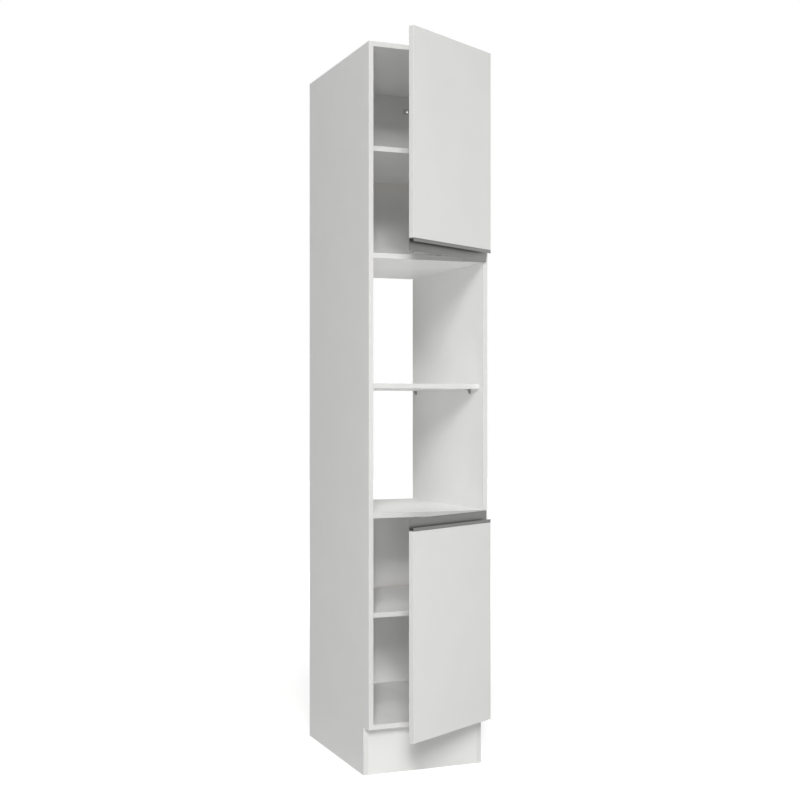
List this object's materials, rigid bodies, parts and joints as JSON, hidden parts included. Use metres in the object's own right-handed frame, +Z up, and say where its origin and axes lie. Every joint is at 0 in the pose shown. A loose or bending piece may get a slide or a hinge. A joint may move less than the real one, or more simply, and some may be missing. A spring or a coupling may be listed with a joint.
{
  "type": "tall kitchen cabinet",
  "caption": "Tall white kitchen cabinet for a built-in microwave: open niches between an upper and a lower cupboard, doors with full-width aluminium grips, recessed plinth.",
  "frame": {"origin": "on the floor, at the middle of the cabinet's width, in the plane of its rear edges", "axes": "+Z up, +Y towards the wall behind, so the front with the doors faces -Y; +X to the right seen from the front"},
  "size_m": [0.4032, 0.7936, 2.25],
  "materials": {
    "white_board": "white melamine-faced particle board, matt",
    "door_board": "white melamine-faced particle board with white edging, satin",
    "back_board": "white-faced hardboard",
    "anodised_aluminium": "satin anodised",
    "hinge_steel": "nickel-plated",
    "screw_steel": "zinc-plated",
    "cam_metal": "plain die casting",
    "white_plastic": "moulded, matt",
    "grey_plastic": "moulded, matt",
    "soft_clear": "soft, translucent",
    "beech": "plain beech"
  },
  "bodies": {
    "cabinet": {"side_panel_left": "white_board", "side_panel_right": "white_board", "top_panel": "white_board", "upper_base_panel": "white_board", "niche_floor_panel": "white_board", "bottom_panel": "white_board", "upper_shelf": "white_board", "niche_shelf": "white_board", "lower_shelf": "white_board", "upper_back_panel": "back_board", "lower_back_panel": "back_board", "plinth_front_board": "white_board", "plinth_back_board": "white_board", "plinth_side_left": "white_board", "plinth_side_right": "white_board", "plinth_corner_blocks": "white_plastic", "plinth_block_screws": "screw_steel", "cam_locks": "cam_metal", "cam_bolts": "screw_steel", "dowels": "beech", "cam_cover_caps": "white_plastic", "upper_shelf_supports": "grey_plastic", "niche_shelf_supports": "grey_plastic", "lower_shelf_supports": "grey_plastic", "back_panel_nails": "screw_steel", "wall_brackets": "hinge_steel", "wall_bracket_screws": "screw_steel", "upper_hinge_mounting_plates": "hinge_steel", "upper_hinge_plate_screws": "screw_steel", "upper_hinge_arms": "hinge_steel", "upper_hinge_arm_screws": "screw_steel", "upper_hinge_arm_pins": "screw_steel", "lower_hinge_mounting_plates": "hinge_steel", "lower_hinge_plate_screws": "screw_steel", "lower_hinge_arms": "hinge_steel", "lower_hinge_arm_screws": "screw_steel", "lower_hinge_arm_pins": "screw_steel"},
    "upper_link_pair": {"upper_outer_links": "hinge_steel"},
    "upper_guide_links": {"upper_inner_links": "hinge_steel"},
    "upper_door": {"upper_hinge_cups": "hinge_steel", "upper_hinge_cup_pins": "screw_steel", "upper_hinge_cup_screws": "screw_steel", "upper_door_panel": "door_board", "upper_door_handle": "anodised_aluminium", "upper_door_bumpers": "soft_clear"},
    "lower_link_pair": {"lower_outer_links": "hinge_steel"},
    "lower_guide_links": {"lower_inner_links": "hinge_steel"},
    "lower_door": {"lower_hinge_cups": "hinge_steel", "lower_hinge_cup_pins": "screw_steel", "lower_hinge_cup_screws": "screw_steel", "lower_door_panel": "door_board", "lower_door_handle": "anodised_aluminium", "lower_door_bumpers": "soft_clear"}
  },
  "joints": [
    {"name": "upper_link_swing", "type": "hinge", "parent": "cabinet", "child": "upper_link_pair", "pos_m": [0.1633, -0.5736, 1.9], "axis": [0, 0, 1], "range_deg": [-20.5, 8.8]},
    {"name": "upper_guide_swing", "type": "hinge", "parent": "cabinet", "child": "upper_guide_links", "pos_m": [0.16705, -0.5908, 1.9], "axis": [0, 0, 1], "range_deg": [-14.6, 6.3]},
    {"name": "upper_door_turn", "type": "hinge", "parent": "upper_link_pair", "child": "upper_door", "pos_m": [0.18673, -0.58709, 1.9], "axis": [0, 0, 1], "range_deg": [-38.47, 90.63]},
    {"name": "lower_link_swing", "type": "hinge", "parent": "cabinet", "child": "lower_link_pair", "pos_m": [0.1633, -0.5736, 0.45], "axis": [0, 0, 1], "range_deg": [-20.5, 8.8]},
    {"name": "lower_guide_swing", "type": "hinge", "parent": "cabinet", "child": "lower_guide_links", "pos_m": [0.16705, -0.5908, 0.45], "axis": [0, 0, 1], "range_deg": [-14.6, 6.3]},
    {"name": "lower_door_turn", "type": "hinge", "parent": "lower_link_pair", "child": "lower_door", "pos_m": [0.18673, -0.58709, 0.45], "axis": [0, 0, 1], "range_deg": [-38.47, 90.63]}
  ],
  "couplings": [
    {"joint": "upper_link_swing", "follows": "upper_door_turn", "ratio": -0.22541},
    {"joint": "upper_guide_swing", "follows": "upper_door_turn", "ratio": -0.16034},
    {"joint": "lower_link_swing", "follows": "lower_door_turn", "ratio": -0.22541},
    {"joint": "lower_guide_swing", "follows": "lower_door_turn", "ratio": -0.16034}
  ]
}
